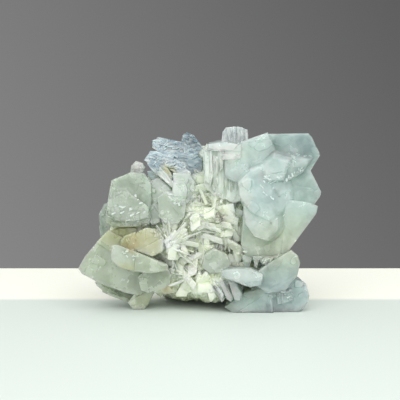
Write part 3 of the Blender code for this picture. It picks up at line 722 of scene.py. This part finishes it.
def piece(name, mesh, slot, kind, node=None):
    """Adds a mesh in mm as a piece of the look, with its own material."""
    look = look_material(name, GROUND[name], LOOK_NUMBERS[kind], box_of(mesh))
    in_metres(mesh)
    mesh.materials.clear()
    mesh.materials.append(look)
    obj = placed("look_" + name, mesh)
    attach(obj, "root")
    if node:
        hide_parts(node)


def coordinates(mesh):
    points = np.empty(len(mesh.vertices) * 3)
    mesh.vertices.foreach_get("co", points)
    return points.reshape(-1, 3)


def fused(meshes, voxel):
    """One closed skin of even quads round overlapping bodies."""
    return modified(united(meshes), "REMESH", mode="VOXEL", voxel_size=voxel)


def broken_rock(mesh):
    """Gives the matrix its uneven, broken surface."""
    points = coordinates(mesh)
    normals = np.empty(len(points) * 3)
    mesh.vertices.foreach_get("normal", normals)
    normals = normals.reshape(-1, 3)
    height = 0.55 * facets(points, 2.4, 3) + 0.25 * facets(points, 1.0, 13)
    height += 0.5 * soft_noise(points, 3.5, 23)
    points = points + normals * height[:, None]
    points[:, 2] = np.maximum(points[:, 2], 0.3)
    mesh.vertices.foreach_set("co", points.ravel())
    mesh.update()
    return mesh


class Look(NamedTuple):
    """The numbers of a material."""

    clear: float  # transmission where it isn't milky
    radius: tuple  # how far light spreads inside, in mm
    roughness: tuple  # where clear, where milky
    grain: float  # strength of the fine grain
    white: float  # how white its milky places are
    fleck: float  # how strong its small flecks are
    stretch: tuple = (1, 1, 1)  # under 1 on an axis, the flecks run along it


LOOK_NUMBERS = {
    "clear_barite": Look(0.5, (4, 5, 4.8), (0.15, 0.35), 0.12, 0.3, 0.08),
    "blue_barite": Look(0.35, (2.2, 2.9, 3.1), (0.25, 0.5), 0.6, 0.5, 1.2, (0.35, 1.2, 1.2)),
    "green_barite": Look(0.45, (3.4, 4, 3.2), (0.18, 0.4), 0.2, 0.3, 0.15),
    "white_barite": Look(0.3, (2.4, 2.8, 2.8), (0.2, 0.45), 0.25, 0.6, 1.4, (1.8, 1.8, 0.12)),
    "yellow_barite": Look(0.4, (3.4, 3.2, 2), (0.18, 0.4), 0.2, 0.25, 0.15),
    "matrix": Look(0.15, (2.2, 2.3, 1.8), (0.2, 0.5), 0.2, 0.35, 0.5),
    "flakes": Look(0.1, (0.3, 0.3, 0.3), (0.2, 0.4), 0.1, 0.3, 0.3),
}

BARITE_IOR = 1.64
BEND_SIZE, BEND = 3.5, 5.0  # the waves that bend the zones of colour, and how strongly
TINT_FADE = (0.4, 1.5)  # where a zone of colour begins to fade and where it ends, in radii
CLOUD_SIZE, FLECK_SIZE, GRAIN_SIZE = 4.5, 0.7, 0.35
GRAIN_HEIGHT = 0.12
CLEAR_IN_MILK = 0.35  # the share of its clearness that a milky place keeps


class Tree:
    """Adds nodes to a material or a world in few words."""

    def __init__(self, owner):
        self.nodes = owner.node_tree.nodes
        self.links = owner.node_tree.links

    def add(self, kind, settings=(), **values):
        node = self.nodes.new("ShaderNode" + kind)
        for name, value in dict(settings).items():
            setattr(node, name, value)
        for name, value in values.items():
            self.feed(node.inputs[name.replace("_", " ")], value)
        return node

    def feed(self, socket, value):
        if isinstance(value, bpy.types.NodeSocket):
            self.links.new(value, socket)
        else:
            socket.default_value = value

    def vector_math(self, operation, first, second):
        node = self.nodes.new("ShaderNodeVectorMath")
        node.operation = operation
        self.feed(node.inputs[0], first)
        self.feed(node.inputs["Scale" if operation == "SCALE" else 1], second)
        return node.outputs["Value" if operation == "LENGTH" else "Vector"]

    def ranged(self, value, low, high, to_low, to_high):
        node = self.add("MapRange", Value=value)
        for name, number in (("From Min", low), ("From Max", high), ("To Min", to_low), ("To Max", to_high)):
            node.inputs[name].default_value = number
        return node.outputs["Result"]

    def mixed(self, share, first, second):
        node = self.nodes.new("ShaderNodeMix")
        node.data_type = "RGBA"
        self.feed(node.inputs["Factor"], share)
        self.feed(node.inputs["A"], first)
        self.feed(node.inputs["B"], second)
        return node.outputs["Result"]

    def math(self, operation, first, second):
        node = self.nodes.new("ShaderNodeMath")
        node.operation = operation
        self.feed(node.inputs[0], first)
        self.feed(node.inputs[1], second)
        return node.outputs[0]

    def noise(self, place, size, detail=2.0):
        """Noise from about 0.25 to 0.75 whose swellings are about as large as size."""
        return self.add("TexNoise", Vector=place, Scale=1 / size, Detail=detail)


def flakes(streak, surface, chance):
    """Small thin flakes that lie on a surface along a streak."""
    for start, end in zip(streak.path, streak.path[1:]):
        start, end = Vector(start), Vector(end)
        run = (end - start).normalized()
        for _ in range(max(1, round((end - start).length * streak.count * FLAKE_FILL))):
            x, z = start.lerp(end, chance.random())
            x += chance.gauss(0, 0.5) * streak.width
            z += chance.gauss(0, 0.5) * streak.width
            place, normal, _, _ = surface.ray_cast(Vector((x, IN_FRONT, z)), Vector((0, 1, 0)))
            if place is None:
                continue
            along = Matrix.Rotation(chance.gauss(0.9, 0.5), 2) @ run
            way = (Vector((along.x, 0, along.y)) + 0.35 * random_direction(chance)).normalized()
            side = way.cross(normal + 0.6 * random_direction(chance)).normalized()
            length = chance.uniform(0.4, 1.1) * (0.6 + streak.width)
            yield blade_points(place, way, side, length, chance.uniform(0.2, 0.45), chance.uniform(0.1, 0.2))


def near(tint, box, reach=1.6):
    """Whether a zone of colour, at reach times its radii, meets a box of (low, high) corners."""
    low, high = box
    return all(a + reach * r > l and a - reach * r < h for a, r, l, h in zip(tint.at, tint.radii, low, high))


def look_material(name, ground, look, box):
    """Barite, clear and milky by turns under a glassy surface, in soft zones of colour."""
    made = bpy.data.materials.new(name)
    made.use_nodes = True
    shader = made.node_tree.nodes["Principled BSDF"]
    shader.subsurface_method = "RANDOM_WALK"
    shader.inputs["IOR"].default_value = BARITE_IOR
    shader.inputs["Subsurface Weight"].default_value = 1.0
    shader.inputs["Subsurface Radius"].default_value = look.radius
    shader.inputs["Subsurface Scale"].default_value = MM
    tree = Tree(made)
    place = tree.vector_math("SCALE", tree.add("TexCoord").outputs["Object"], 1 / MM)
    place = tree.vector_math("ADD", place, MIDDLE)
    stray = tree.vector_math("SUBTRACT", tree.noise(place, BEND_SIZE).outputs["Color"], (0.5, 0.5, 0.5))
    bent = tree.vector_math("ADD", place, tree.vector_math("SCALE", stray, BEND))
    colour = (*ground, 1)
    for tint in TINTS:
        if near(tint, box):
            away = tree.vector_math("DIVIDE", tree.vector_math("SUBTRACT", bent, tint.at), tint.radii)
            far = tree.vector_math("LENGTH", away, (0, 0, 0))
            colour = tree.mixed(tree.ranged(far, *TINT_FADE, tint.share, 0.0), colour, (*tint.colour, 1))
    cloud = tree.ranged(tree.noise(bent, CLOUD_SIZE, 2).outputs["Fac"], 0.35, 0.7, 0.0, 1.0)
    drawn = tree.vector_math("MULTIPLY", place, look.stretch)
    fleck = tree.ranged(tree.noise(drawn, FLECK_SIZE, 3).outputs["Fac"], 0.45, 0.8, 0.0, look.fleck)
    milk = tree.math("ADD", tree.math("MULTIPLY", cloud, 0.7), fleck)
    whitened = tree.math("MULTIPLY", milk, look.white)
    colour = tree.mixed(whitened, colour, (*WHITE, 1))
    tree.feed(shader.inputs["Base Color"], colour)
    clear = tree.ranged(milk, 0.0, 1.0, look.clear, look.clear * CLEAR_IN_MILK)
    tree.feed(shader.inputs["Transmission Weight"], clear)
    tree.feed(shader.inputs["Roughness"], tree.ranged(milk, 0.0, 1.0, *look.roughness))
    grain = tree.noise(place, GRAIN_SIZE, 4).outputs["Fac"]
    bump = tree.add("Bump", Height=grain, Strength=look.grain)
    bump.inputs["Distance"].default_value = GRAIN_HEIGHT * MM
    tree.feed(shader.inputs["Normal"], bump.outputs["Normal"])
    return made


def box_of(mesh):
    points = coordinates(mesh)
    return points.min(axis=0), points.max(axis=0)


def lump_mesh(lump):
    mesh = bpy.data.meshes.new("lump")
    form = bmesh.new()
    bmesh.ops.create_icosphere(form, subdivisions=4, radius=1.0)
    for vert in form.verts:
        vert.co = [a + r * c for a, r, c in zip(lump.at, lump.radii, vert.co)]
    form.to_mesh(mesh)
    form.free()
    return mesh


def rock_face(x, z, way=-1):
    """The y where the lumps of matrix end in front (way -1) or at the back (way 1), or None beside them."""
    found = []
    for lump in MATRIX_LUMPS:
        across = (x - lump.at[0]) / lump.radii[0]
        up = (z - lump.at[2]) / lump.radii[2]
        if across**2 + up**2 < 1:
            found.append(lump.at[1] + way * lump.radii[1] * math.sqrt(1 - across**2 - up**2))
    return max(found, key=lambda y: y * way, default=None)


def blade_points(seat, along, side, length, width, thickness):
    """A small tabular blade with a slanting end."""
    side = (side - along * side.dot(along)).normalized()
    flat = along.cross(side) * thickness / 2
    slant = min(0.5 * width, 0.3 * length)
    points = []
    foot, top = -0.5 * length, 0.5 * length
    for reach, edge in ((foot, -0.5), (foot, 0.5), (top - slant, -0.5), (top, 0.35)):
        spine = seat + along * reach + side * width * edge
        points.extend((spine + flat, spine - flat))
    tip = seat + along * (0.5 * length - 0.4 * slant) + side * width * 0.5
    return points + [tip + flat, tip - flat]


class Blade(NamedTuple):
    """A larger blade on the matrix, which can be told in the photographed view."""

    start: tuple  # x and z
    end: tuple
    width: float
    lift: float = 0.8  # how far its end stands out


BLADES = (
    Blade((6.3, 19), (12.9, 15.3), 2.2),
    Blade((-6.8, 13.5), (-0.5, 6.7), 1.6, 1.5),
    Blade((-1, 14.8), (-1.6, 9.3), 2.4, 1.2),
    Blade((-7.3, 13.5), (-3.7, 10.9), 1.8),
    Blade((0.8, 23.5), (5, 22.7), 1.4, 1.5),
    Blade((6.3, 23.2), (9.3, 22.6), 1.6, 1.5),
    Blade((7.3, 26.6), (10, 24.4), 1.8, 1.2),
    Blade((-8.6, 18), (-3.1, 23.5), 0.8),
    Blade((-8.1, 17.2), (-2.1, 20.3), 0.7),
    Blade((-8.4, 18.6), (-4.6, 25), 0.6),
    Blade((-4.7, 23.5), (-2.1, 26.4), 0.6),
    Blade((-9.9, 21.4), (-7.3, 17.2), 1.2),
    Blade((-2, 24), (6.3, 21.4), 1),
    Blade((1.3, 20.3), (6.8, 18.5), 1.5, 1.2),
    Blade((-5.7, 19.3), (0.5, 17.7), 1.3, 1.2),
    Blade((1.9, 16), (-3.1, 13.5), 1.2, 1.2),
    Blade((2.4, 39.8), (4.7, 34.5), 1, 0.3),
    Blade((6, 34), (10.2, 34.9), 1.5, 2),
    Blade((3.7, 28.5), (11, 24), 1.1),
    Blade((0, 33.5), (2.4, 28.5), 0.8),
    Blade((7.3, 32.4), (6, 28.7), 0.6),
    Blade((9, 21.4), (11, 18), 1.6),
    Blade((4, 8), (6.8, 4.3), 1, 2),
    Blade((5.8, 8.6), (8.6, 4), 1.1, 2.5),
    Blade((-4, 27), (-1, 31), 0.8),
    Blade((-11, 15.5), (-6, 12), 1.2),
)
LOOSE_COUNT = 210  # broad blades scattered over the front of the matrix
BACK_COUNT = 170  # blades scattered over its back
FLAKE_FILL = 0.26  # how densely the streaks are filled
FAN_FILL = 0.8  # how densely the fans are filled


class Fan(NamedTuple):
    """Small blades that radiate from one place on the matrix."""

    at: tuple  # x and z
    spread: tuple  # angles from +X towards +Z, in degrees
    reach: float
    count: int


FANS = (
    Fan((-7.5, 18), (-100, 130), 7, 46),
    Fan((-4, 23), (20, 140), 6.5, 30),
    Fan((0.5, 26), (150, 400), 5, 26),
    Fan((5, 29), (0, 360), 5, 30),
    Fan((4, 34), (30, 330), 5, 24),
    Fan((8, 25), (90, 300), 5, 26),
    Fan((7, 20), (60, 330), 5.5, 26),
    Fan((0, 19), (0, 360), 6, 34),
    Fan((-5, 14), (180, 380), 6, 30),
    Fan((-9, 9), (0, 200), 4, 14),
    Fan((-3, 9), (150, 220), 4, 12),
    Fan((-3, 9), (320, 400), 4, 12),
    Fan((3, 6), (0, 180), 3.5, 12),
    Fan((10, 17), (100, 260), 4, 18),
    Fan((-10, 27), (200, 340), 4, 14),
    Fan((0, 33), (200, 300), 5, 24),
)


def needles(chance):
    """The blades of the matrix: fans on its front, loose ones on its front and back, and BLADES."""
    for fan in FANS:
        for _ in range(round(fan.count * FAN_FILL)):
            angle = math.radians(chance.uniform(*fan.spread))
            way = Vector((math.cos(angle), -chance.uniform(-0.1, 0.35), math.sin(angle))).normalized()
            start = chance.uniform(0.0, 0.45) * fan.reach
            x = fan.at[0] + math.cos(angle) * start + chance.gauss(0, 0.6)
            z = fan.at[1] + math.sin(angle) * start + chance.gauss(0, 0.6)
            front = rock_face(x, z)
            if front is None:
                continue
            length = fan.reach * chance.uniform(0.4, 1.0)
            seat = Vector((x, front + chance.uniform(-0.8, 0.5), z)) + way * length * 0.4
            width = chance.choice((0.2, 0.25, 0.35, 0.5, 0.8)) * chance.uniform(0.8, 1.2)
            yield blade_points(seat, way, random_direction(chance), length, width, chance.uniform(0.15, 0.35))
    for _ in range(LOOSE_COUNT):
        x, z = chance.uniform(-12, 12), chance.uniform(5, 37)
        front = rock_face(x, z)
        if front is None:
            continue
        way = random_direction(chance)
        way = Vector((way.x, -abs(way.y) * 0.35, way.z)).normalized()
        length = chance.uniform(2.2, 5.5)
        seat = Vector((x, front + chance.uniform(-0.8, 0.8), z))
        width = chance.uniform(0.8, 3.0)
        side = (Vector((way.z, 0, -way.x)) + 0.35 * random_direction(chance)).normalized()
        yield blade_points(seat, way, side, length, width, chance.uniform(0.6, 1.4))
    for _ in range(BACK_COUNT):
        x, z = chance.uniform(-14, 16), chance.uniform(6, 40)
        back = rock_face(x, z, 1)
        if back is None:
            continue
        way = Vector((chance.gauss(0, 1), 0, chance.gauss(0, 1))).normalized()
        way = (way + Vector((0, 0.3, 0))).normalized()
        side = (Vector((way.z, 0, -way.x)) + 0.5 * random_direction(chance)).normalized()
        seat = Vector((x, back + chance.uniform(-0.6, 0.5), z))
        length, width = chance.uniform(2.0, 5.0), chance.uniform(0.5, 2.2)
        yield blade_points(seat, way, side, length, width, chance.uniform(0.4, 1.0))
    for blade in BLADES:
        start, end = Vector(blade.start), Vector(blade.end)
        ends = [Vector((at.x, (rock_face(*at) or BESIDE) - 0.6, at.y)) for at in (start, end)]
        ends[1].y -= blade.lift
        way = (ends[1] - ends[0]).normalized()
        side = Vector((way.z, 0.3, -way.x))
        length = (ends[1] - ends[0]).length
        yield blade_points((ends[0] + ends[1]) / 2, way, side, length, blade.width, 0.6)


white_flakes = []
for name, crystals in CLUSTERS.items():
    chance = random.Random(name)
    skin = SKINS[name]
    parts, breaks = [], []
    for crystal in crystals:
        if skin.ribs:
            parts.extend(ribbed_parts(crystal, skin, chance))
        else:
            parts.extend(crystal_parts(crystal, skin, chance))
        parts.extend(young_crystals(crystal, skin, chance))
        breaks.extend(chips(crystal, skin, chance))
    mesh = united(bodies(parts))
    if breaks:
        mesh = combined(mesh, united(bodies(breaks)), "DIFFERENCE")
    surface = BVHTree.FromPolygons(
        [vert.co.copy() for vert in mesh.vertices], [tuple(face.vertices) for face in mesh.polygons]
    )
    for streak in STREAKS.get(name, ()):
        white_flakes.extend(flakes(streak, surface, chance))
    piece(name, mesh, skin.slot, skin.slot, name)

piece("flakes", united(bodies(white_flakes)), "white_barite", "flakes")

chance = random.Random(SPRAY_SEED)
rock = broken_rock(fused([lump_mesh(lump) for lump in MATRIX_LUMPS], ROCK_VOXEL))
spray = united(bodies(needles(chance)))
piece("matrix", combined(rock, spray), "matrix", "matrix", "matrix")


# The camera, the floor and the room, in metres
CAMERA_ELEVATION = 6.0
CAMERA_DISTANCE = 0.3
CAMERA_TARGET = (0.00014, -0.0006, 0.0289)
FLOOR_REACH = 0.6
HORIZON = 0.0604  # y of the floor's back edge
FLOOR_STEP = (0.006, 0.010)  # y where the greyer front gives way to the pale back
FLOOR_FRONT = (0.68, 0.75, 0.70, 1)
FLOOR_BACK = (0.98, 0.99, 0.89, 1)
ROOM_LEFT, ROOM_RIGHT = 0.222, 0.132  # greys of the room
ROOM_FADE = 0.02  # how much lighter it is low down, and darker higher up
SKY = 0.8


def floor():
    """A pale slab whose back edge is the horizon, with a slightly greyer front."""
    mesh = bpy.data.meshes.new("floor")
    side = FLOOR_REACH
    corners = [(-side, -side, 0), (side, -side, 0), (side, HORIZON, 0), (-side, HORIZON, 0)]
    mesh.from_pydata(corners, [], [(0, 1, 2, 3)])
    made = bpy.data.materials.new("floor")
    made.use_nodes = True
    shader = made.node_tree.nodes["Principled BSDF"]
    shader.inputs["Roughness"].default_value = 0.6
    tree = Tree(made)
    apart = tree.add("SeparateXYZ", Vector=tree.add("TexCoord").outputs["Object"])
    step = tree.ranged(apart.outputs["Y"], *FLOOR_STEP, 0.0, 1.0)
    tree.feed(shader.inputs["Base Color"], tree.mixed(step, FLOOR_FRONT, FLOOR_BACK))
    mesh.materials.append(made)
    placed("floor", mesh)


def backdrop():
    """The grey of the room, with soft white light overhead."""
    world = bpy.data.worlds.new("room")
    world.use_nodes = True
    bpy.context.scene.world = world
    tree = Tree(world)
    apart = tree.add("SeparateXYZ", Vector=tree.add("TexCoord").outputs["Generated"])
    across = tree.ranged(apart.outputs["X"], -0.18, 0.18, ROOM_LEFT, ROOM_RIGHT)
    up = tree.ranged(apart.outputs["Z"], -0.17, 0.08, ROOM_FADE, -ROOM_FADE)
    high = tree.ranged(apart.outputs["Z"], 0.25, 0.85, 0.0, SKY)
    high.node.interpolation_type = "SMOOTHSTEP"
    total = tree.math("ADD", tree.math("ADD", across, up), high)
    tree.feed(world.node_tree.nodes["Background"].inputs["Color"], total)


def soft_light(name, at, size, power, target=(0, 0, 0.02)):
    data = bpy.data.lights.new(name, "AREA")
    data.size = size
    data.energy = power
    obj = placed(name, data)
    obj.location = at
    obj.visible_camera = False
    obj.rotation_euler = (Vector(target) - Vector(at)).to_track_quat("-Z", "Y").to_euler()


def camera():
    data = bpy.data.cameras.new("camera")
    data.lens = 100
    data.sensor_width = 36
    data.clip_start = 0.01
    obj = placed("camera", data)
    tilt = math.radians(CAMERA_ELEVATION)
    target = Vector(CAMERA_TARGET)
    obj.location = target + CAMERA_DISTANCE * Vector((0, -math.cos(tilt), math.sin(tilt)))
    obj.rotation_euler = (math.radians(90) - tilt, 0, 0)
    bpy.context.scene.camera = obj


floor()
backdrop()
soft_light("key", (0.10, -0.34, 0.34), size=0.6, power=2.0)
soft_light("fill", (-0.30, -0.42, 0.20), size=0.5, power=1.1)
camera()
bpy.context.scene.view_settings.view_transform = "Standard"
